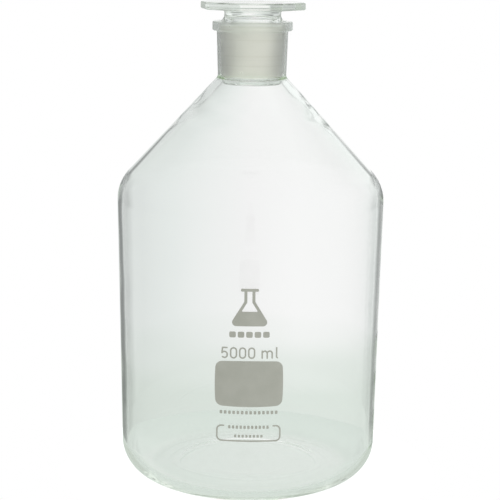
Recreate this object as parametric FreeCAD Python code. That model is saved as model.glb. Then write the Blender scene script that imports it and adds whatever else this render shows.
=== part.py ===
import FreeCAD, Part
import math
import os

# Five-litre reagent bottle of clear borosilicate glass, narrow mouth, with a ground stopper.
# Millimetres. +Z is up, the axis of the bottle is Z, and the origin is the centre of the plane
# that it stands on. The printed front faces -Y.

V = FreeCAD.Vector

# ---- driving dimensions: bottle ----
BODY_RADIUS = 91.0          # at the corner between wall and shoulder, before it is rounded
CORNER_Z = 203.0            # height of that corner
FOOT_RADIUS = 87.6          # the wall drawn down to the standing plane: the body tapers a little
HEEL_ROUND = 23.4
SHOULDER_ROUND = 27.5
SHOULDER_ANGLE = 43.0       # degrees between the shoulder cone and the axis
NECK_ROOT_RADIUS = 23.1
NECK_TOP_RADIUS = 24.05
NECK_ROOT_ROUND = 3.5
COLLAR_RADIUS = 27.0
COLLAR_UNDERSIDE_Z = 306.5
MOUTH_Z = 312.7
COLLAR_EDGE_ROUND = 1.1
COLLAR_ROOT_ROUND = 0.8     # between the neck and the collar's underside
PANEL_RADIUS = 46.0         # the pushed-up middle of the underside
PANEL_STEP_RADIUS = 57.0
PUSH_UP = 0.45
PANEL_ROUND = 30.0

WALL = 3.4                  # of the body
SHOULDER_WALL_LOW = 2.6     # the shoulder's wall at the corner with the body
SHOULDER_WALL_TOP = 4.2     # and at the neck, where the glass gathers
BASE_WALL = 4.6
CROWN_RADIUS = 30.0         # the flat middle of the floor inside
CROWN_RISE = 1.0
CROWN_ROUND = 60.0
INNER_NECK_ROUND = 3.0

# ---- driving dimensions: standard taper joint 45/40 ----
JOINT_LARGE_DIAMETER = 45.0  # of the socket at the mouth
JOINT_LENGTH = 40.0
JOINT_SLOPE = 1.0 / 20.0     # radius lost per unit of height: a taper of 1 in 10
JOINT_CLEARANCE = 0.1        # radial, at rest
SOCKET_EDGE_ROUND = 0.5

# ---- driving dimensions: stopper ----
STOPPER_CONE_TOP_Z = MOUTH_Z - 1.7
STOPPER_END_Z = 269.5
STOPPER_END_ROUND = 4.0
STOPPER_END_DRAFT = 0.3      # radius lost between the end of the ground cone and the closed end
STOPPER_CONE_TOP_ROUND = 0.8
WAIST_RADIUS = 19.1
WAIST_Z = MOUTH_Z + 2.8
WAIST_ROUND = 4.0
HEAD_BOTTOM_Z = 320.5
HEAD_THICKNESS = 5.0
HEAD_CORNER_RADIUS = 36.2    # axis to a corner of the octagon, before rounding
HEAD_SIDES = 8
HEAD_TURN = 32.2             # degrees from the front to the first corner, towards +X
HEAD_CORNER_ROUND = 3.0
HEAD_EDGE_ROUND = 1.2
HEAD_FILLET = 2.6
STOPPER_WALL = 2.9
CAVITY_TOP_Z = 317.0
CAVITY_DOME_ROUND = 13.0
CAVITY_END_ROUND = 3.5
CAVITY_TOP_SPREAD = 0.6      # by how much the hollow is wider inside the waist than the wall asks for

# ---- driving dimensions: enamel markings on the front ----
ENAMEL_PROUD = 0.10
ENAMEL_SUNK = 0.05
MARK_X = 0.3                 # centre line of the block of markings
EMBLEM_Z = (124.5, 149.1)
NAME_Z = (116.5, 121.4)
CAPACITY_Z = (103.0, 110.6)
FIELD_Z = (71.4, 100.9)
ORIGIN_Z = (65.2, 68.8)
FRAME_Z = (47.3, 58.4)
FRAME_TEXT_Z = (55.4, 58.9)
CODE_TEXT_Z = (49.6, 52.6)
BLOCK_FRONT_Y = -BODY_RADIUS - 5.0   # prisms that cut the markings out of the enamel layer
BLOCK_DEPTH = BODY_RADIUS / 2
SKIN_MARGIN = 5.0            # of the enamel layer above and below the markings


# ---- geometry helpers ----
def rounded_path(corners):
    """Closed wire in the XZ plane through (x, z, rounding radius) corners, with tangent arcs."""
    count = len(corners)
    runs = []
    for i in range(count):
        x, z, radius = corners[i]
        here = V(x, 0, z)
        before = V(corners[i - 1][0], 0, corners[i - 1][1]) - here
        after = V(corners[(i + 1) % count][0], 0, corners[(i + 1) % count][1]) - here
        before.normalize()
        after.normalize()
        if radius == 0:
            runs.append((here, None, here))
            continue
        half = before.getAngle(after) / 2
        reach = radius / math.tan(half)
        middle = before + after
        middle.normalize()
        centre = here + middle * (radius / math.sin(half))
        runs.append((here + before * reach, centre - middle * radius, here + after * reach))
    edges = []
    for i in range(count):
        start, middle, end = runs[i]
        following = runs[(i + 1) % count][0]
        if middle is not None:
            edges.append(Part.Arc(start, middle, end).toShape())
        if (following - end).Length > 1e-6:
            edges.append(Part.LineSegment(end, following).toShape())
    return Part.Wire(edges)


def turned(corners):
    """Solid of revolution about Z of a rounded outline."""
    face = Part.Face(rounded_path(corners))
    return face.revolve(V(0, 0, 0), V(0, 0, 1), 360)


def socket_radius(z):
    return JOINT_LARGE_DIAMETER / 2 - (MOUTH_Z - z) * JOINT_SLOPE


def wall_radius(z):
    return FOOT_RADIUS + (BODY_RADIUS - FOOT_RADIUS) * z / CORNER_Z


# ---- glass ----
def make_bottle():
    slope = math.tan(math.radians(SHOULDER_ANGLE))
    neck_root_z = CORNER_Z + (BODY_RADIUS - NECK_ROOT_RADIUS) / slope
    # the inner cone leaves the outer one towards the neck
    low_shift = SHOULDER_WALL_LOW / math.cos(math.radians(SHOULDER_ANGLE))
    top_shift = SHOULDER_WALL_TOP / math.cos(math.radians(SHOULDER_ANGLE))
    inner_corner_radius = BODY_RADIUS - WALL
    inner_corner_z = CORNER_Z + (BODY_RADIUS - low_shift - inner_corner_radius) / slope
    bore_radius = socket_radius(neck_root_z)
    inner_neck_z = CORNER_Z + (BODY_RADIUS - top_shift - bore_radius) / slope
    outside = [
        (0, PUSH_UP, 0),
        (PANEL_RADIUS, PUSH_UP, PANEL_ROUND),
        (PANEL_STEP_RADIUS, 0, PANEL_ROUND),
        (FOOT_RADIUS, 0, HEEL_ROUND),
        (BODY_RADIUS, CORNER_Z, SHOULDER_ROUND),
        (NECK_ROOT_RADIUS, neck_root_z, NECK_ROOT_ROUND),
        (NECK_TOP_RADIUS, COLLAR_UNDERSIDE_Z, COLLAR_ROOT_ROUND),
        (COLLAR_RADIUS, COLLAR_UNDERSIDE_Z, COLLAR_EDGE_ROUND),
        (COLLAR_RADIUS, MOUTH_Z, COLLAR_EDGE_ROUND),
    ]
    inside = [
        (socket_radius(MOUTH_Z), MOUTH_Z, SOCKET_EDGE_ROUND),
        (bore_radius, inner_neck_z, INNER_NECK_ROUND),
        (inner_corner_radius, inner_corner_z, SHOULDER_ROUND - WALL),
        (FOOT_RADIUS - WALL, BASE_WALL, HEEL_ROUND - WALL),
        (CROWN_RADIUS, BASE_WALL + CROWN_RISE, CROWN_ROUND),
        (0, BASE_WALL + CROWN_RISE, 0),
    ]
    return turned(outside + inside)


def make_head():
    """Flat octagonal grip of the stopper, with rounded corners and edges."""
    corners = []
    for i in range(HEAD_SIDES):
        angle = math.radians(HEAD_TURN + i * 360.0 / HEAD_SIDES)
        x = HEAD_CORNER_RADIUS * math.sin(angle)
        y = -HEAD_CORNER_RADIUS * math.cos(angle)
        corners.append(V(x, y, HEAD_BOTTOM_Z))
    plate = Part.Face(Part.makePolygon(corners + corners[:1])).extrude(V(0, 0, HEAD_THICKNESS))
    upright = [e for e in plate.Edges if abs(e.tangentAt(e.FirstParameter).z) > 0.99]
    plate = plate.makeFillet(HEAD_CORNER_ROUND, upright)
    rims = [e for e in plate.Edges if abs(e.tangentAt(e.FirstParameter).z) < 0.01]
    return plate.makeFillet(HEAD_EDGE_ROUND, rims)


def make_stopper():
    cone_end_z = STOPPER_CONE_TOP_Z - JOINT_LENGTH
    top_radius = socket_radius(STOPPER_CONE_TOP_Z) - JOINT_CLEARANCE
    end_radius = socket_radius(cone_end_z) - JOINT_CLEARANCE
    middle_of_head = HEAD_BOTTOM_Z + HEAD_THICKNESS / 2
    disc_radius = WAIST_RADIUS + 2 * HEAD_FILLET
    plug = turned([
        (0, STOPPER_END_Z, 0),
        (end_radius - STOPPER_END_DRAFT, STOPPER_END_Z, STOPPER_END_ROUND),
        (end_radius, cone_end_z, 0),
        (top_radius, STOPPER_CONE_TOP_Z, STOPPER_CONE_TOP_ROUND),
        (WAIST_RADIUS, WAIST_Z, WAIST_ROUND),
        (WAIST_RADIUS, HEAD_BOTTOM_Z, HEAD_FILLET),
        (disc_radius, HEAD_BOTTOM_Z, 0),
        (disc_radius, middle_of_head, 0),
        (0, middle_of_head, 0),
    ])
    cavity = turned([
        (0, STOPPER_END_Z + STOPPER_WALL, 0),
        (end_radius - STOPPER_WALL, STOPPER_END_Z + STOPPER_WALL, CAVITY_END_ROUND),
        (WAIST_RADIUS - STOPPER_WALL + CAVITY_TOP_SPREAD, CAVITY_TOP_Z, CAVITY_DOME_ROUND),
        (0, CAVITY_TOP_Z, 0),
    ])
    return plug.fuse(make_head()).cut(cavity).removeSplitter()


# ---- enamel markings ----
def front_block(corners):
    """Prism through the front of the bottle with a rounded outline in the XZ plane."""
    shifted = [(x + MARK_X, z, radius) for x, z, radius in corners]
    face = Part.Face(rounded_path(shifted))
    face.translate(V(0, BLOCK_FRONT_Y, 0))
    return face.extrude(V(0, BLOCK_DEPTH, 0))


def bar(x, z, width, height, radius):
    """Prism with a rounded rectangle as its outline, centred on x and z."""
    w = width / 2
    h = height / 2
    return front_block([
        (x - w, z - h, radius),
        (x + w, z - h, radius),
        (x + w, z + h, radius),
        (x - w, z + h, radius),
    ])


def line_stroke(start, end, pen):
    """Straight pen stroke with round ends."""
    length = math.hypot(end[0] - start[0], end[1] - start[1])
    angle = math.degrees(math.atan2(end[1] - start[1], end[0] - start[0]))
    piece = Part.makeBox(length, BLOCK_DEPTH, pen, V(0, 0, -pen / 2))
    ends = [Part.makeCylinder(pen / 2, BLOCK_DEPTH, V(x, 0, 0), V(0, 1, 0)) for x in (0, length)]
    piece = piece.fuse(ends)
    piece.rotate(V(0, 0, 0), V(0, 1, 0), -angle)
    piece.translate(V(start[0] + MARK_X, BLOCK_FRONT_Y, start[1]))
    return piece


def arc_stroke(centre, radius, first, last, pen):
    """Round pen stroke from the first to the last angle, anticlockwise as seen from the front."""
    ring = Part.makeCylinder(radius + pen / 2, BLOCK_DEPTH, V(0, 0, 0), V(0, -1, 0), last - first)
    ring = ring.cut(Part.makeCylinder(radius - pen / 2, BLOCK_DEPTH, V(0, 0, 0), V(0, -1, 0)))
    # the cylinder's own zero angle is found from its box and turned to the stroke's first angle
    probe = Part.makeCylinder(1, 1, V(0, 0, 0), V(0, -1, 0), 1).CenterOfMass
    ring.rotate(V(0, 0, 0), V(0, -1, 0), first - math.degrees(math.atan2(probe.z, probe.x)))
    ring.translate(V(centre[0] + MARK_X, BLOCK_FRONT_Y + BLOCK_DEPTH, centre[1]))
    return ring


def digit_zero(x, z, width, height, pen):
    ring = []
    for grow in (pen, -pen):
        ring.append(bar(x + width / 2, z + height / 2, width + grow, height + grow, (width + grow) / 2))
    return [ring[0].cut(ring[1])]


def digit_five(x, z, width, height, pen):
    r = width * 0.52
    bowl_x = x + width - r
    top = z + height * 0.6 - r
    bottom = z + r
    lead = math.radians(140)
    return [
        line_stroke((x + 0.12 * width, z + height), (x + 0.94 * width, z + height), pen),
        line_stroke((x + 0.12 * width, z + height), (x, z + height * 0.47), pen),
        line_stroke((x, z + height * 0.47), (bowl_x + r * math.cos(lead), top + r * math.sin(lead)), pen),
        arc_stroke((bowl_x, top), r, 0, 140, pen),
        line_stroke((x + width, top), (x + width, bottom), pen),
        arc_stroke((bowl_x, bottom), r, 215, 360, pen),
    ]


def letter_m(x, z, width, height, pen):
    r = width / 4
    strokes = [line_stroke((x, z), (x, z + height), pen)]
    for i in (1, 2):
        stem = x + i * 2 * r
        strokes.append(line_stroke((stem, z), (stem, z + height - r), pen))
        strokes.append(arc_stroke((stem - r, z + height - r), r, 0, 180, pen))
    return strokes


def letter_l(x, z, height, pen):
    """Upright with a short foot: an L-shaped outline with a rounded heel."""
    left = x - pen / 2
    right = x + pen / 2
    low = z - pen / 2
    return [front_block([
        (left, z + height + pen / 2, 0.3),
        (left, low, 1.5 * pen),
        (x + pen, low, 0),
        (x + pen, low + pen, 0),
        (right, low + pen, pen / 3),
        (right, z + height + pen / 2, 0.3),
    ])]


def joined(solids):
    if len(solids) == 1:
        return solids[0]
    return solids[0].multiFuse(solids[1:]).removeSplitter()


def enamel(groups):
    """Thin layer on the bottle's wall wherever a block passes through it, one solid to a group."""
    low = FRAME_Z[0] - SKIN_MARGIN
    high = EMBLEM_Z[1] + SKIN_MARGIN
    skin = turned([
        (wall_radius(low) - ENAMEL_SUNK, low, 0),
        (wall_radius(low) + ENAMEL_PROUD, low, 0),
        (wall_radius(high) + ENAMEL_PROUD, high, 0),
        (wall_radius(high) - ENAMEL_SUNK, high, 0),
    ])
    return Part.makeCompound([joined([skin.common(block) for block in group]) for group in groups])


def middle(span):
    return (span[0] + span[1]) / 2


def height_of(span):
    return span[1] - span[0]


def make_emblem():
    """Conical flask with a rim, half full: a plain laboratory pictogram."""
    bottom, top = EMBLEM_Z
    line = 1.9
    base_half = 13.2
    neck_half = 3.5
    neck_z = top - 8.5
    liquid_z = bottom + 9.6
    outer = front_block([
        (-base_half, bottom, 2.6),
        (base_half, bottom, 2.6),
        (neck_half, neck_z, 2.0),
        (neck_half, top - 1.0, 0),
        (-neck_half, top - 1.0, 0),
        (-neck_half, neck_z, 2.0),
    ])
    side_slope = (base_half - neck_half) / (neck_z - bottom)
    inner_half = base_half - line * 1.15 - (liquid_z - bottom) * side_slope
    hollow = front_block([
        (-inner_half, liquid_z, 0.4),
        (inner_half, liquid_z, 0.4),
        (neck_half - line, neck_z - 0.5, 1.0),
        (neck_half - line, top - line, 0),
        (line - neck_half, top - line, 0),
        (line - neck_half, neck_z - 0.5, 1.0),
    ])
    rim = bar(0, top - line / 2, 11.5, line, line / 2 - 0.05)
    return enamel([[outer.cut(hollow), rim]])


def make_name_bar():
    blocks = 5
    pitch = 5.4
    blocks_x = [(i - (blocks - 1) / 2) * pitch for i in range(blocks)]
    return enamel([[bar(x, middle(NAME_Z), pitch - 1.2, height_of(NAME_Z) - 1.0, 1.0)] for x in blocks_x])


def make_capacity_mark():
    pen = 1.0
    z = CAPACITY_Z[0] + pen / 2
    height = height_of(CAPACITY_Z) - pen
    digit = 3.7
    glyphs = [digit_five(-17.5, z, digit - 0.3, height, pen)]
    for x in (-11.9, -6.1, -0.3):
        glyphs.append(digit_zero(x, z, digit, height, pen))
    glyphs.append(letter_m(8.3, z, 6.4, height - 2.0, pen))
    glyphs.append(letter_l(17.5, z, height, pen))
    return enamel(glyphs)


def make_writing_field():
    """Filled panel whose four sides swell outwards a little between rounded corners."""
    half = 21.4
    swell = 0.6
    low, high = FIELD_Z
    corners = [V(-half, 0, low), V(half, 0, low), V(half, 0, high), V(-half, 0, high)]
    swollen = [V(0, 0, low - swell), V(half + swell, 0, middle(FIELD_Z)),
               V(0, 0, high + swell), V(-half - swell, 0, middle(FIELD_Z))]
    sides = [Part.Arc(corners[i], swollen[i], corners[(i + 1) % 4]).toShape() for i in range(4)]
    face = Part.Face(Part.Wire(sides))
    face.translate(V(MARK_X, BLOCK_FRONT_Y, 0))
    block = face.extrude(V(0, BLOCK_DEPTH, 0))
    lengthwise = [e for e in block.Edges if abs(e.tangentAt(e.FirstParameter).y) > 0.99]
    return enamel([[block.makeFillet(4.6, lengthwise)]])


def dash_row(span, half_width, count):
    """Row of equal short dashes across the given width."""
    pitch = 2 * half_width / count
    height = height_of(span)
    xs = [-half_width + (i + 0.5) * pitch for i in range(count)]
    return [[bar(x, middle(span), pitch * 0.62, height * 0.62, 0.5)] for x in xs]


def make_origin_bar():
    return enamel(dash_row(ORIGIN_Z, 19.2, 14))


def make_batch_frame():
    """Thin rounded frame, open at the top for the first line of the batch marking."""
    line = 1.0
    half = 20.9
    gap_half = 15.6
    low, high = FRAME_Z
    outer = bar(0, middle(FRAME_Z), 2 * half, high - low, 3.4)
    inner = bar(0, middle(FRAME_Z), 2 * (half - line), high - low - 2 * line, 3.4 - line)
    gap = bar(0, high, 2 * gap_half, 4 * line, 0)
    return enamel([[outer.cut(inner).cut(gap)]])


def make_batch_bars():
    return enamel(dash_row(FRAME_TEXT_Z, 13.6, 11) + dash_row(CODE_TEXT_Z, 9.7, 8))


MAKERS = {
    "bottle": make_bottle,
    "stopper": make_stopper,
    "emblem": make_emblem,
    "name_bar": make_name_bar,
    "capacity_mark": make_capacity_mark,
    "writing_field": make_writing_field,
    "origin_bar": make_origin_bar,
    "batch_frame": make_batch_frame,
    "batch_bars": make_batch_bars,
}

os.makedirs("parts", exist_ok=True)
for node, make in MAKERS.items():
    shape = make()
    shape.exportStep("parts/" + node + ".step")
    print(node, "valid", shape.isValid(), "solids", len(shape.Solids), "volume", round(shape.Volume, 2))
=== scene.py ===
import math

import bpy
from mathutils import Matrix, Vector


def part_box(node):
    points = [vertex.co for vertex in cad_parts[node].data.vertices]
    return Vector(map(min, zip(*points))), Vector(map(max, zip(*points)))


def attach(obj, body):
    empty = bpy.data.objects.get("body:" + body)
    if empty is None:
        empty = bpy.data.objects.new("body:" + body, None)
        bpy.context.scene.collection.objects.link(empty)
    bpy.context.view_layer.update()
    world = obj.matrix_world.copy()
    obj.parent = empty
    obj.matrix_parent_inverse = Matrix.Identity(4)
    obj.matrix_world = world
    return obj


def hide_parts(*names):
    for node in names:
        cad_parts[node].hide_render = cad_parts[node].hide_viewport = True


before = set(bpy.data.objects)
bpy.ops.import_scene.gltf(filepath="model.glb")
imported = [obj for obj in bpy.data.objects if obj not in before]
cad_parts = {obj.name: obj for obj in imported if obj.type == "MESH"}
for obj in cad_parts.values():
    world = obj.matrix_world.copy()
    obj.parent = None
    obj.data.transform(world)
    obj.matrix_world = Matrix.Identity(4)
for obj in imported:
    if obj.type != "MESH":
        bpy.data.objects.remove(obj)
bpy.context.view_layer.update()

MM = 0.001                      # lengths are in millimetres unless a comment says metres

# ---- sizes taken from the frame ----
MOUTH_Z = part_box("bottle")[1].z / MM
STOPPER_LOW, STOPPER_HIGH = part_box("stopper")
STOPPER_END_Z = STOPPER_LOW.z / MM
HEAD_TOP_Z = STOPPER_HIGH.z / MM

# ---- bottle, outside ----
BODY_RADIUS = 91.0              # at the corner between wall and shoulder, before it is rounded
CORNER_Z = 203.0
FOOT_RADIUS = 87.6
HEEL_ROUND = 23.4
SHOULDER_ROUND = 27.5
SHOULDER_ANGLE = math.radians(43.0)
NECK_ROOT_RADIUS = 23.1
NECK_TOP_RADIUS = 24.05
NECK_ROOT_ROUND = 3.5
COLLAR_RADIUS = 27.0
COLLAR_UNDERSIDE_Z = MOUTH_Z - 6.2
COLLAR_ROOT_ROUND = 0.8
COLLAR_EDGE_ROUND = 1.1
PANEL_RADIUS = 46.0             # the raised middle of the underside, inside the standing ring
PANEL_STEP_RADIUS = 57.0
PUSH_UP = 0.45
PANEL_ROUND = 30.0

# ---- bottle, inside ----
WALL = 3.4
SHOULDER_WALL_LOW = 2.6
SHOULDER_WALL_TOP = 4.2
BASE_WALL = 4.6
CROWN_RADIUS = 30.0             # the floor inside rises a little in the middle
CROWN_RISE = 1.0
CROWN_ROUND = 60.0
INNER_NECK_ROUND = 3.0

# ---- standard taper joint 45/40 ----
JOINT_LARGE_RADIUS = 22.5
JOINT_LENGTH = 40.0
JOINT_SLOPE = 1.0 / 20.0
JOINT_CLEARANCE = 0.1
SOCKET_EDGE_ROUND = 0.5
SOCKET_GROUND_Z = (276.2, MOUTH_Z - 0.5)        # foot and top of the frosted band in the socket

# ---- stopper ----
CONE_TOP_Z = MOUTH_Z - 1.7
CONE_TOP_ROUND = 0.8
CONE_GROUND_Z = (CONE_TOP_Z - JOINT_LENGTH + 5.8, CONE_TOP_Z - 0.6)     # and of the one on the cone
STOPPER_END_ROUND = 4.0
STOPPER_END_DRAFT = 0.3         # how much narrower the end is than the cone above it
WAIST_RADIUS = 19.1
WAIST_Z = MOUTH_Z + 2.8
WAIST_ROUND = 4.0
HEAD_THICKNESS = 5.0
HEAD_BOTTOM_Z = HEAD_TOP_Z - HEAD_THICKNESS
HEAD_CORNER_RADIUS = 36.2
HEAD_SIDES = 8
HEAD_TURN = math.radians(32.2)  # from the front to the first corner, towards +X
HEAD_CORNER_ROUND = 3.0
HEAD_EDGE_ROUND = 1.2
HEAD_FILLET = 2.6
STOPPER_WALL = 2.9
CAVITY_TOP_Z = 317.0
CAVITY_TOP_SPREAD = 0.6
CAVITY_DOME_ROUND = 13.0
CAVITY_END_ROUND = 3.5

# ---- unevenness of the blown inside ----
# Each wave is its depth, the waves in one turn, its phase, and how fast the phase moves on upwards.
WALL_WAVES = (                  # the last number is for the height of the wall
    (0.16, 1, 0.6, 0.0),
    (0.10, 2, 2.1, 1.5),
    (0.05, 5, 1.9, 3.0),
    (0.03, 9, -2.2, 5.0),
    (0.02, 1, 0.0, 41.0),
)
BAND_DEPTH = 0.04               # bands up the wall, which sway a little round the bottle
BAND_RATE = 17.0                # phase for the height of the wall
BAND_SWAY = 0.8
WALL_WAVE_TOP_Z = SOCKET_GROUND_Z[0] - 4.0
WALL_WAVE_FADE = 20.0           # the waves die out over this length below that height
GATHER_WAVES = (                # thick glass below the neck; the last number is for one millimetre
    (0.45, 3, 0.0, 0.35),
    (0.30, 8, 1.3, -0.5),
)
GATHER_FOOT_Z = (236.0, 248.0)  # upwards, where these waves begin and are full
GATHER_TOP_Z = (271.0, 267.0)   # downwards, the same
RING_DEPTH = 0.012              # faint rings in the floor
RING_RATE = 0.30                # phase for one millimetre of radius
RING_SWAY = 0.7
SAG_DEPTH = 0.08                # of the floor, which has two high and two low sides
SAG_TWIST = 0.06                # phase for one millimetre of radius
RIDGE_RADIUS = 50.0             # soft ridge round the floor, left by the blowing mould
RIDGE_HEIGHT = 0.22
RIDGE_WIDTH = 1.8
FLOOR_WAVE_TOP_Z = BASE_WALL + CROWN_RISE + 1.0
FLOOR_WAVE_FADE = 0.8

# ---- mesh fineness ----
AXIS_RADIUS = 1.0               # outlines end this far from the axis, and a fan of faces closes them
TURN_SEGMENTS = 320
ARC_STEP = math.radians(2.5)
LONG_RUN = 2.0                  # straight runs longer than this are cut up
RUN_HOLD = 0.6                  # into a short piece at each end, and steps between them
RUN_STEP = 4.0
BASE_STEP = 0.8                 # the step for the base, which is below this height
BASE_STEP_Z = 8.0
HEAD_ARC_STEPS = 8
HEAD_SIDE_STEPS = 26
HEAD_EDGE_STEPS = 6
HEAD_FLAT_HOLD = 0.4            # from the end of a rounding to the first ring on the flat beside it
HEAD_SIDE_RINGS = (0.3, 0.5, 0.7)
HEAD_UNDERSIDE_RINGS = (0.25, 0.5, 0.75)
HEAD_TOP_RINGS = (0.9, 0.75, 0.6, 0.45, 0.3, 0.15, 0.05)

# ---- glass ----
# Noise scales are for one metre. A larger stretch makes the noise finer along that axis.
NOISE_RANGE = (0.3, 0.7)        # where most values of a noise lie
GLASS_IOR = 1.473
ROUGHNESS_NOISE = dict(scale=60.0)
CLEAR_TINT = (0.76, 0.92, 0.64, 1.0)            # absorption colour of the mass
CLEAR_DENSITY = 1.8                             # of the absorption, for one metre
CLEAR_ROUGHNESS = (0.0, 0.012)
RIPPLE_NOISE = dict(scale=30.0, detail=2.0, stretch=(1, 1, 0.4))
RIPPLE_BUMP = dict(Strength=0.10, Distance=0.0004)      # bump distances are in metres
GROUND_TINT = (0.90, 0.95, 0.55, 1.0)
GROUND_DENSITY = 2.0
GROUND_ROUGHNESS = (0.27, 0.38)
GROUND_COLOUR = (1.0, 0.990, 0.965, 1.0)
LINE_COLOUR = (0.935, 0.925, 0.890, 1.0)        # of the lines left by the grinding
LINE_NOISE = dict(scale=20.0, detail=2.0, stretch=(0.3, 0.3, 24.0))
LINE_RANGE = (0.40, 0.46)                       # of that noise, from a line to the glass between lines
GRAIN_NOISE = dict(scale=900.0, detail=2.0, stretch=(0.25, 0.25, 4.0))
GRAIN_BUMP = dict(Strength=0.10, Distance=0.0001)

# ---- enamel ----
ENAMEL_DARK = (0.455, 0.445, 0.395, 1.0)
ENAMEL_LIGHT = (0.550, 0.532, 0.485, 1.0)
ENAMEL_GRAIN = dict(scale=1400.0, detail=4.0)
ENAMEL_CLOUD = dict(scale=90.0)
ENAMEL_GRAIN_SHARE = 0.5        # of the change in colour; the cloud has the rest
ENAMEL_ROUGHNESS = (0.45, 0.7)
ENAMEL_BUMP = dict(Strength=0.25, Distance=0.00005)

# ---- floor (its sizes are in metres) ----
FLOOR_RADIUS = 0.13
FLOOR_Z = -0.0002
FLOOR_SEGMENTS = 128
FLOOR_COLOUR = (0.22, 0.24, 0.23, 1.0)
FLOOR_PAINTED_GLOW = (0.655, 0.575)     # painted glow, as the glass sees it, in the middle and at the rim: the floor glows though it is no lamp, brightest under the bottle
FLOOR_PAINTED_GLOW_FALL = (0.07, FLOOR_RADIUS)
FLOOR_PAINTED_GLOW_TINT = (0.91, 1.0, 0.925, 1.0)
FLOOR_GLOW_SEEN = 1.0           # as the camera sees it, so that it meets the white background

# ---- studio light (heights are the sine of the elevation) ----
WHITE = (1.0, 1.0, 1.0, 1.0)
BACKGROUND = 1.0                # white, as the camera sees it past the object
BACKDROP_PAIRS = 4              # each a wide and a narrow white backdrop, evenly round the horizon
BACKDROP_LIGHT = 0.98
WIDE_SHARE = 0.35               # how much wider the wide ones are
BACKDROP_EDGE = (-0.60, 0.05)   # of the wave round the horizon, from full gap to full backdrop
GAP_LIGHT = 0.38                # light of the gaps between backdrops
GAP_FOOT = (-0.34, -0.295)      # upwards, where the gaps begin and are full
GAP_TOP = (-0.10, 0.0)          # and where they begin to fade and are gone
FLAG_FOOT = (0.03, 0.07)        # the same for the dark flags above the horizon, in line with the gaps
FLAG_TOP = (0.15, 0.20)
LOW_LIGHT = 0.83                # share of the light left where the backdrops curve down to the floor
LOW_RISE = (-0.285, -0.235)     # upwards, where the light begins to rise from that and is full
LOW_TINT = (0.92, 1.0, 0.935, 1.0)
OVERHEAD_LIGHT = 1.10
OVERHEAD_RISE = (0.36, 0.60)
DIM_SIDE = 0.73                 # share of the light left on the -X side
DIM_RANGE = (-0.22, 0.04)       # of the direction's X, from all of that dimming to none
LOW_DIM_SHARE = 0.6             # how much of it there is near the floor
SIDE_TINT = (0.955, 1.0, 0.98, 1.0)     # of the backdrops to the left and far to the right
LEFT_TINT_RANGE = (0.0, -0.08)          # of the direction's X, from none of that tint to all of it
RIGHT_TINT_RANGE = (0.14, 0.30)
MIRRORED_LIGHT = 0.62           # what reflections see of the room, except far behind the object
MIRRORED_RANGE = (0.80, 0.50)   # of the direction's Y, where that begins and is full
LIGHT_BOUNCES = 128             # light goes round inside thick glass many times

# ---- camera ----
CAMERA_DISTANCE = 1048.35
CAMERA_HEIGHT = 363.04
CAMERA_PITCH = math.radians(11.151)
CAMERA_ROLL = math.radians(0.674)
CAMERA_LENS = 111.62
CAMERA_SENSOR = 36.0


# =============================== outlines and meshes ===============================
def rounded_outline(corners):
    """Points (radius, z) along an open outline of (radius, z, rounding) corners, with tangent arcs."""
    points = []
    last = len(corners) - 1
    for i, (r, z, rounding) in enumerate(corners):
        here = Vector((r, z))
        if i in (0, last) or rounding == 0:
            points.append(here)
            continue
        before = (Vector(corners[i - 1][:2]) - here).normalized()
        after = (Vector(corners[i + 1][:2]) - here).normalized()
        half = before.angle(after) / 2
        reach = rounding / math.tan(half)
        centre = here + (before + after).normalized() * (rounding / math.sin(half))
        start = here + before * reach - centre
        end = here + after * reach - centre
        sweep = start.angle(end)
        steps = max(3, math.ceil(sweep / ARC_STEP))
        for k in range(steps + 1):
            f = k / steps
            spoke = (start * math.sin((1 - f) * sweep) + end * math.sin(f * sweep)) / math.sin(sweep)
            points.append(centre + spoke)
    return divided(points)


def divided(points):
    """The same outline with its long straight runs cut up, more finely next to their ends."""
    out = [points[0]]
    for a, b in zip(points, points[1:]):
        run = (b - a).length
        if run < 1e-6:
            continue
        if run > LONG_RUN:
            hold = min(RUN_HOLD, run / 6)
            step = BASE_STEP if max(a.y, b.y) < BASE_STEP_Z else RUN_STEP
            count = max(1, math.ceil((run - 2 * hold) / step))
            for k in range(count + 1):
                out.append(a.lerp(b, (hold + (run - 2 * hold) * k / count) / run))
        out.append(b)
    return out


def closed_shell(rings, slot_of):
    """Vertices, faces and slots through rings of (x, y, z) points, with a fan to the axis at each end."""
    count = len(rings[0])
    last = len(rings) - 1
    verts = [Vector(p) * MM for ring in rings for p in ring]
    faces = []
    slots = []
    for i in range(last):
        for j in range(count):
            k = (j + 1) % count
            faces.append((i * count + j, i * count + k, (i + 1) * count + k, (i + 1) * count + j))
        slots += [slot_of(i)] * count
    for i, at_start in ((0, True), (last, False)):
        pole = len(verts)
        verts.append(Vector((0, 0, rings[i][0][2])) * MM)
        for j in range(count):
            a = i * count + j
            b = i * count + (j + 1) % count
            faces.append((pole, b, a) if at_start else (pole, a, b))
        slots += [slot_of(min(i, last - 1))] * count
    return verts, faces, slots


def as_object(name, shells, materials):
    """One smooth-shaded object from (verts, faces, slots) shells."""
    verts = []
    faces = []
    slots = []
    for shell_verts, shell_faces, shell_slots in shells:
        base = len(verts)
        verts += shell_verts
        faces += [tuple(base + v for v in face) for face in shell_faces]
        slots += shell_slots
    mesh = bpy.data.meshes.new(name)
    mesh.from_pydata(verts, [], faces)
    for material in materials:
        mesh.materials.append(material)
    mesh.polygons.foreach_set("material_index", slots)
    mesh.polygons.foreach_set("use_smooth", [True] * len(faces))
    mesh.update()
    piece = bpy.data.objects.new(name, mesh)
    bpy.context.scene.collection.objects.link(piece)
    return piece


# =============================== bottle ===============================
def socket_radius(z):
    return JOINT_LARGE_RADIUS - (MOUTH_Z - z) * JOINT_SLOPE


def ramp(value, start, end):
    """Share that goes from 0 at the start to 1 at the end, and stays level outside them."""
    return min(1.0, max(0.0, (value - start) / (end - start)))


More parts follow.
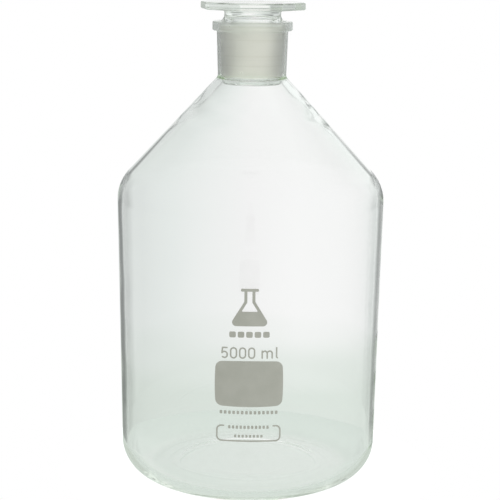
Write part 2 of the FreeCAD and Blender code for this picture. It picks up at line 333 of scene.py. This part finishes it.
def wave_sum(waves, angle, rise):
    return sum(depth * math.sin(turns * angle + phase + rate * rise) for depth, turns, phase, rate in waves)


def wall_wave(angle, z):
    """How far the inside of the wall stands out from a true surface."""
    rise = z / CORNER_Z
    bands = BAND_DEPTH * math.sin(BAND_RATE * rise + BAND_SWAY * math.sin(2 * angle))
    near_neck = ramp(z, *GATHER_FOOT_Z) * ramp(z, *GATHER_TOP_Z)
    at_the_sides = abs(math.cos(angle))
    gather = near_neck * at_the_sides * wave_sum(GATHER_WAVES, angle, z)
    return wave_sum(WALL_WAVES, angle, rise) + bands + gather


def floor_wave(angle, r):
    """How far the floor inside stands up from a true surface."""
    rings = RING_DEPTH * math.sin(RING_RATE * r + RING_SWAY * math.sin(angle))
    sag = SAG_DEPTH * math.sin(2 * angle + SAG_TWIST * r) * r / FOOT_RADIUS
    ridge = RIDGE_HEIGHT * math.exp(-((r - RIDGE_RADIUS) / RIDGE_WIDTH) ** 2)
    return rings + sag + ridge


def blown(angle, r, z):
    """Where the blown glass has a point of the true inside surface, as (radius, z)."""
    on_wall = ramp(z, WALL_WAVE_TOP_Z, WALL_WAVE_TOP_Z - WALL_WAVE_FADE) * ramp(r, 0, PANEL_RADIUS)
    on_floor = ramp(z, FLOOR_WAVE_TOP_Z, FLOOR_WAVE_TOP_Z - FLOOR_WAVE_FADE) * ramp(r, 0, CROWN_RADIUS)
    return r + on_wall * wall_wave(angle, z), z + on_floor * floor_wave(angle, r)


def bottle_outline():
    """From the middle of the underside up the outside to the mouth, and down the inside to the floor."""
    slope = math.tan(SHOULDER_ANGLE)
    neck_root_z = CORNER_Z + (BODY_RADIUS - NECK_ROOT_RADIUS) / slope
    low_shift = SHOULDER_WALL_LOW / math.cos(SHOULDER_ANGLE)
    top_shift = SHOULDER_WALL_TOP / math.cos(SHOULDER_ANGLE)
    inner_corner_radius = BODY_RADIUS - WALL
    inner_corner_z = CORNER_Z + (BODY_RADIUS - low_shift - inner_corner_radius) / slope
    bore_radius = socket_radius(neck_root_z)
    inner_neck_z = CORNER_Z + (BODY_RADIUS - top_shift - bore_radius) / slope
    return rounded_outline([
        (AXIS_RADIUS, PUSH_UP, 0),
        (PANEL_RADIUS, PUSH_UP, PANEL_ROUND),
        (PANEL_STEP_RADIUS, 0, PANEL_ROUND),
        (FOOT_RADIUS, 0, HEEL_ROUND),
        (BODY_RADIUS, CORNER_Z, SHOULDER_ROUND),
        (NECK_ROOT_RADIUS, neck_root_z, NECK_ROOT_ROUND),
        (NECK_TOP_RADIUS, COLLAR_UNDERSIDE_Z, COLLAR_ROOT_ROUND),
        (COLLAR_RADIUS, COLLAR_UNDERSIDE_Z, COLLAR_EDGE_ROUND),
        (COLLAR_RADIUS, MOUTH_Z, COLLAR_EDGE_ROUND),
        (socket_radius(MOUTH_Z), MOUTH_Z, SOCKET_EDGE_ROUND),
        (bore_radius, inner_neck_z, INNER_NECK_ROUND),
        (inner_corner_radius, inner_corner_z, SHOULDER_ROUND - WALL),
        (FOOT_RADIUS - WALL, BASE_WALL, HEEL_ROUND - WALL),
        (CROWN_RADIUS, BASE_WALL + CROWN_RISE, CROWN_ROUND),
        (AXIS_RADIUS, BASE_WALL + CROWN_RISE, 0),
    ])


def make_bottle(clear, ground):
    outline = bottle_outline()
    mouth = max(range(len(outline)), key=lambda i: outline[i].y)
    rings = []
    for i, (true_r, true_z) in enumerate(outline):
        ring = []
        for j in range(TURN_SEGMENTS):
            angle = 2 * math.pi * j / TURN_SEGMENTS
            r, z = blown(angle, true_r, true_z) if i > mouth else (true_r, true_z)
            ring.append((r * math.cos(angle), r * math.sin(angle), z))
        rings.append(ring)

    def slot_of(i):
        z = (outline[i].y + outline[i + 1].y) / 2
        return 1 if i > mouth and SOCKET_GROUND_Z[0] < z < SOCKET_GROUND_Z[1] else 0

    return as_object("bottle_glass", [closed_shell(rings, slot_of)], [clear, ground])


# =============================== stopper ===============================
def head_ring(inset):
    """Rounded octagon of the stopper's head, moved inwards all round by the inset."""
    half_turn = math.pi / HEAD_SIDES
    flat = HEAD_CORNER_RADIUS * math.cos(half_turn)
    spoke = (flat - HEAD_CORNER_ROUND) / math.cos(half_turn)
    rounding = HEAD_CORNER_ROUND - inset
    arcs = []
    for k in range(HEAD_SIDES):
        corner = HEAD_TURN - math.pi / 2 + 2 * half_turn * k
        centre = Vector((spoke * math.cos(corner), spoke * math.sin(corner)))
        arc = []
        for step in range(HEAD_ARC_STEPS + 1):
            angle = corner - half_turn + 2 * half_turn * step / HEAD_ARC_STEPS
            arc.append(centre + rounding * Vector((math.cos(angle), math.sin(angle))))
        arcs.append(arc)
    points = []
    for k, arc in enumerate(arcs):
        points += arc
        following = arcs[(k + 1) % HEAD_SIDES][0]
        for step in range(1, HEAD_SIDE_STEPS):
            points.append(arc[-1].lerp(following, step / HEAD_SIDE_STEPS))
    return points


def head_rings(waist_ring):
    """Rings of the head, from the one where the waist meets it, round the edge and in over the top."""
    round_over = []
    for k in range(HEAD_EDGE_STEPS + 1):
        a = math.pi / 2 * k / HEAD_EDGE_STEPS
        round_over.append((HEAD_EDGE_ROUND * (1 - math.sin(a)), HEAD_EDGE_ROUND * (1 - math.cos(a))))
    flat_inset = HEAD_EDGE_ROUND + HEAD_FLAT_HOLD
    edge = [(flat_inset, HEAD_BOTTOM_Z)]
    edge += [(inset, HEAD_BOTTOM_Z + lift) for inset, lift in round_over]
    edge += [(0, HEAD_BOTTOM_Z + HEAD_THICKNESS * f) for f in HEAD_SIDE_RINGS]
    edge += [(inset, HEAD_TOP_Z - lift) for inset, lift in reversed(round_over)]
    edge += [(flat_inset, HEAD_TOP_Z)]
    flat_ring = head_ring(flat_inset)
    underside = [Vector((p.x, p.y, HEAD_BOTTOM_Z)) for p in flat_ring]
    rings = []
    for f in HEAD_UNDERSIDE_RINGS:
        rings.append([Vector(a).lerp(b, f) for a, b in zip(waist_ring, underside)])
    for inset, z in edge:
        rings.append([(p.x, p.y, z) for p in head_ring(inset)])
    for f in HEAD_TOP_RINGS:
        rings.append([(p.x * f, p.y * f, HEAD_TOP_Z) for p in flat_ring])
    return rings


def make_stopper(clear, ground):
    cone_end_z = CONE_TOP_Z - JOINT_LENGTH
    top_radius = socket_radius(CONE_TOP_Z) - JOINT_CLEARANCE
    end_radius = socket_radius(cone_end_z) - JOINT_CLEARANCE
    plug = rounded_outline([
        (AXIS_RADIUS, STOPPER_END_Z, 0),
        (end_radius - STOPPER_END_DRAFT, STOPPER_END_Z, STOPPER_END_ROUND),
        (end_radius, cone_end_z, 0),
        (top_radius, CONE_TOP_Z, CONE_TOP_ROUND),
        (WAIST_RADIUS, WAIST_Z, WAIST_ROUND),
        (WAIST_RADIUS, HEAD_BOTTOM_Z, HEAD_FILLET),
        (WAIST_RADIUS + HEAD_FILLET + HEAD_FLAT_HOLD, HEAD_BOTTOM_Z, 0),
    ])
    cavity = rounded_outline([
        (AXIS_RADIUS, CAVITY_TOP_Z, 0),
        (WAIST_RADIUS - STOPPER_WALL + CAVITY_TOP_SPREAD, CAVITY_TOP_Z, CAVITY_DOME_ROUND),
        (end_radius - STOPPER_WALL, STOPPER_END_Z + STOPPER_WALL, CAVITY_END_ROUND),
        (AXIS_RADIUS, STOPPER_END_Z + STOPPER_WALL, 0),
    ])
    angles = [math.atan2(p.y, p.x) for p in head_ring(0)]

    def turned(outline):
        return [[(r * math.cos(a), r * math.sin(a), z) for a in angles] for r, z in outline]

    def slot_of(i):
        if i >= len(plug) - 1:
            return 0
        z = (plug[i].y + plug[i + 1].y) / 2
        return 1 if CONE_GROUND_Z[0] < z < CONE_GROUND_Z[1] else 0

    plug_rings = turned(plug)
    outer = closed_shell(plug_rings + head_rings(plug_rings[-1]), slot_of)
    inner = closed_shell(turned(cavity), lambda i: 0)
    return as_object("stopper_glass", [outer, inner], [clear, ground])


# =============================== materials ===============================
class NodeKit:
    """Makes and links the nodes of one material or world."""

    def __init__(self, owner):
        owner.use_nodes = True
        self.tree = owner.node_tree
        self.tree.nodes.clear()

    def add(self, kind, **values):
        """A new node. Each value goes to its setting of that name, or else to its input."""
        node = self.tree.nodes.new(kind)
        for key, value in values.items():
            if hasattr(node, key):
                setattr(node, key, value)
            else:
                node.inputs[key.replace("_", " ")].default_value = value
        return node

    def put(self, value, target):
        """Links a socket to the target input, or sets the input to a plain value."""
        if isinstance(value, bpy.types.NodeSocket):
            self.tree.links.new(value, target)
        else:
            target.default_value = value

    def math(self, operation, *values):
        node = self.add("ShaderNodeMath", operation=operation)
        for value, target in zip(values, node.inputs):
            self.put(value, target)
        return node.outputs[0]

    def ranged(self, value, source, target):
        """The value carried from the source (low, high) to the target (low, high), and held there."""
        node = self.add("ShaderNodeMapRange", From_Min=source[0], From_Max=source[1],
                        To_Min=target[0], To_Max=target[1])
        self.put(value, node.inputs["Value"])
        return node.outputs["Result"]

    def mix(self, kind, share, start, end):
        """Goes from the start to the end as the share goes from 0 to 1. The kind is FLOAT or RGBA."""
        node = self.add("ShaderNodeMix", data_type=kind)
        self.put(share, node.inputs["Factor"])
        self.put(start, node.inputs["A"])
        self.put(end, node.inputs["B"])
        return node.outputs["Result"]

    def noise(self, scale, detail=3.0, stretch=(1, 1, 1)):
        """Noise fixed to the object's own coordinates."""
        where = self.add("ShaderNodeTexCoord")
        mapping = self.add("ShaderNodeMapping", Scale=stretch)
        texture = self.add("ShaderNodeTexNoise", Scale=scale, Detail=detail)
        self.put(where.outputs["Object"], mapping.inputs["Vector"])
        self.put(mapping.outputs["Vector"], texture.inputs["Vector"])
        return texture.outputs["Fac"]

    def bump(self, height, values, shader):
        node = self.add("ShaderNodeBump", **values)
        self.put(height, node.inputs["Height"])
        self.put(node.outputs["Normal"], shader.inputs["Normal"])

    def finish(self, surface, volume=None):
        out = self.add("ShaderNodeOutputMaterial")
        self.put(surface, out.inputs["Surface"])
        if volume:
            self.put(volume, out.inputs["Volume"])


def new_material(name):
    material = bpy.data.materials.new(name)
    return material, NodeKit(material)


def glass_shader(kit, roughness, tint, density):
    """Borosilicate glass: faintly absorbing mass, and a surface whose roughness varies in patches."""
    shader = kit.add("ShaderNodeBsdfPrincipled", distribution="MULTI_GGX", IOR=GLASS_IOR,
                     Base_Color=WHITE, Transmission_Weight=1.0)
    patches = kit.noise(**ROUGHNESS_NOISE)
    kit.put(kit.ranged(patches, NOISE_RANGE, roughness), shader.inputs["Roughness"])
    mass = kit.add("ShaderNodeVolumeAbsorption", Color=tint, Density=density)
    kit.finish(shader.outputs["BSDF"], mass.outputs["Volume"])
    return shader


def clear_glass():
    """Fire-polished glass, with a barely visible ripple."""
    material, kit = new_material("clear_glass")
    shader = glass_shader(kit, CLEAR_ROUGHNESS, CLEAR_TINT, CLEAR_DENSITY)
    kit.bump(kit.noise(**RIPPLE_NOISE), RIPPLE_BUMP, shader)
    return material


def ground_glass():
    """Glass ground matt, with a fine grain and faint lines round it from the grinding."""
    material, kit = new_material("ground_glass")
    shader = glass_shader(kit, GROUND_ROUGHNESS, GROUND_TINT, GROUND_DENSITY)
    off_line = kit.ranged(kit.noise(**LINE_NOISE), LINE_RANGE, (0.0, 1.0))
    kit.put(kit.mix("RGBA", off_line, LINE_COLOUR, GROUND_COLOUR), shader.inputs["Base Color"])
    kit.bump(kit.noise(**GRAIN_NOISE), GRAIN_BUMP, shader)
    return material


def enamel_material():
    """Matt fired-on enamel: fine grain in colour, gloss and height, and broad clouds in colour."""
    material, kit = new_material("fired_enamel")
    shader = kit.add("ShaderNodeBsdfPrincipled")
    grain = kit.noise(**ENAMEL_GRAIN)
    cloud = kit.ranged(kit.noise(**ENAMEL_CLOUD), NOISE_RANGE, (0.0, 1.0 - ENAMEL_GRAIN_SHARE))
    lightness = kit.math("MULTIPLY_ADD", grain, ENAMEL_GRAIN_SHARE, cloud)
    kit.put(kit.mix("RGBA", lightness, ENAMEL_DARK, ENAMEL_LIGHT), shader.inputs["Base Color"])
    kit.put(kit.ranged(grain, NOISE_RANGE, ENAMEL_ROUGHNESS), shader.inputs["Roughness"])
    kit.bump(grain, ENAMEL_BUMP, shader)
    kit.finish(shader.outputs["BSDF"])
    return material


# =============================== stage, light and camera ===============================
def make_floor():
    """A disc under the bottle with a painted glow, though it is no lamp, brightest in the middle, that the
    camera sees as plain white.
    """
    bpy.ops.mesh.primitive_circle_add(vertices=FLOOR_SEGMENTS, radius=FLOOR_RADIUS, fill_type="NGON")
    floor = bpy.context.object
    floor.name = "floor"
    floor.location.z = FLOOR_Z
    material, kit = new_material("painted_glow_floor")
    by_camera = kit.add("ShaderNodeLightPath").outputs["Is Camera Ray"]
    where = kit.add("ShaderNodeTexCoord")
    reach = kit.add("ShaderNodeVectorMath", operation="LENGTH")
    kit.put(where.outputs["Object"], reach.inputs[0])
    painted_glow_light = kit.ranged(reach.outputs["Value"], FLOOR_PAINTED_GLOW_FALL, FLOOR_PAINTED_GLOW)
    # painted glow: the floor shines though it is no lamp, brighter in the middle under the bottle
    glow = kit.add("ShaderNodeEmission")
    kit.put(kit.mix("FLOAT", by_camera, painted_glow_light, FLOOR_GLOW_SEEN), glow.inputs["Strength"])
    kit.put(kit.mix("RGBA", by_camera, FLOOR_PAINTED_GLOW_TINT, WHITE), glow.inputs["Color"])
    matt = kit.add("ShaderNodeBsdfDiffuse", Color=FLOOR_COLOUR)
    both = kit.add("ShaderNodeAddShader")
    kit.put(matt.outputs["BSDF"], both.inputs[0])
    kit.put(glow.outputs["Emission"], both.inputs[1])
    kit.finish(both.outputs["Shader"])
    floor.data.materials.append(material)


def between_backdrops(kit, x, y):
    """1 in the gaps between the backdrops round the horizon, and 0 on the backdrops."""
    turn = kit.math("MULTIPLY", kit.math("ARCTAN2", y, x), BACKDROP_PAIRS)
    pair = kit.math("COSINE", turn)
    # cos(2 turn) + share * cos(turn), as (2 cos(turn) + share) * cos(turn) - 1
    factor = kit.math("MULTIPLY_ADD", pair, 2.0, WIDE_SHARE)
    wave = kit.math("MULTIPLY_ADD", factor, pair, -1.0)
    return kit.ranged(wave, BACKDROP_EDGE, (1.0, 0.0))


def band(kit, height, foot, top):
    """1 between a soft foot and a soft top, and 0 below and above them."""
    return kit.math("MULTIPLY", kit.ranged(height, foot, (0.0, 1.0)), kit.ranged(height, top, (1.0, 0.0)))


def studio_light(kit, x, y, height, above_floor):
    """Light from each direction: backdrops and gaps round the horizon, dimmer at -X, and the overhead."""
    dark = kit.math("ADD", band(kit, height, GAP_FOOT, GAP_TOP), band(kit, height, FLAG_FOOT, FLAG_TOP))
    gap = kit.math("MULTIPLY", between_backdrops(kit, x, y), dark)
    sides = kit.ranged(gap, (0.0, 1.0), (BACKDROP_LIGHT, GAP_LIGHT))
    sides = kit.math("MULTIPLY", sides, kit.ranged(above_floor, (0.0, 1.0), (LOW_LIGHT, 1.0)))
    light = kit.mix("FLOAT", kit.ranged(height, OVERHEAD_RISE, (0.0, 1.0)), sides, OVERHEAD_LIGHT)
    dim_share = kit.ranged(above_floor, (0.0, 1.0), (LOW_DIM_SHARE, 1.0))
    dim = kit.math("MULTIPLY", kit.ranged(x, DIM_RANGE, (1.0, 0.0)), dim_share)
    return kit.math("MULTIPLY", light, kit.ranged(dim, (0.0, 1.0), (1.0, DIM_SIDE)))


def make_light():
    """Soft studio as the glass sees it, with a white background as the camera sees it."""
    world = bpy.data.worlds.new("studio")
    bpy.context.scene.world = world
    kit = NodeKit(world)
    where = kit.add("ShaderNodeTexCoord")
    split = kit.add("ShaderNodeSeparateXYZ")
    kit.put(where.outputs["Generated"], split.inputs["Vector"])
    x, y, height = split.outputs
    path = kit.add("ShaderNodeLightPath")
    by_camera = path.outputs["Is Camera Ray"]
    above_floor = kit.ranged(height, LOW_RISE, (0.0, 1.0))
    light = studio_light(kit, x, y, height, above_floor)
    in_room = kit.ranged(y, MIRRORED_RANGE, (0.0, 1.0))
    mirrored = kit.math("MULTIPLY", path.outputs["Glossy Depth"], in_room)
    light = kit.mix("FLOAT", mirrored, light, MIRRORED_LIGHT)
    left_tint = kit.ranged(x, LEFT_TINT_RANGE, (0.0, 1.0))
    right_tint = kit.ranged(x, RIGHT_TINT_RANGE, (0.0, 1.0))
    aside = kit.mix("FLOAT", by_camera, kit.math("ADD", left_tint, right_tint), 0.0)
    high = kit.mix("FLOAT", by_camera, above_floor, 1.0)
    tint = kit.mix("RGBA", high, LOW_TINT, kit.mix("RGBA", aside, WHITE, SIDE_TINT))
    background = kit.add("ShaderNodeBackground")
    kit.put(tint, background.inputs["Color"])
    kit.put(kit.mix("FLOAT", by_camera, light, BACKGROUND), background.inputs["Strength"])
    out = kit.add("ShaderNodeOutputWorld")
    kit.put(background.outputs["Background"], out.inputs["Surface"])


def make_camera():
    lens = bpy.data.cameras.new("camera")
    lens.sensor_width = CAMERA_SENSOR
    lens.lens = CAMERA_LENS
    camera = bpy.data.objects.new("camera", lens)
    bpy.context.scene.collection.objects.link(camera)
    look = Matrix.Rotation(math.pi / 2 - CAMERA_PITCH, 4, "X") @ Matrix.Rotation(CAMERA_ROLL, 4, "Z")
    camera.matrix_world = Matrix.Translation(Vector((0, -CAMERA_DISTANCE, CAMERA_HEIGHT)) * MM) @ look
    bpy.context.scene.camera = camera


def allow_long_light_paths():
    paths = bpy.context.scene.cycles
    paths.max_bounces = LIGHT_BOUNCES
    paths.glossy_bounces = LIGHT_BOUNCES
    paths.transmission_bounces = LIGHT_BOUNCES


# =============================== the scene ===============================
bpy.context.scene.view_settings.view_transform = "Standard"
allow_long_light_paths()
make_camera()
make_light()
make_floor()

clear = clear_glass()
ground = ground_glass()

bottle = make_bottle(clear, ground)
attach(bottle, "bottle")
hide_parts("bottle")

stopper = make_stopper(clear, ground)
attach(stopper, "stopper")
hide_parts("stopper")

enamel = enamel_material()
for name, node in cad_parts.items():
    if name not in ("bottle", "stopper"):
        node.data.materials.clear()
        node.data.materials.append(enamel)
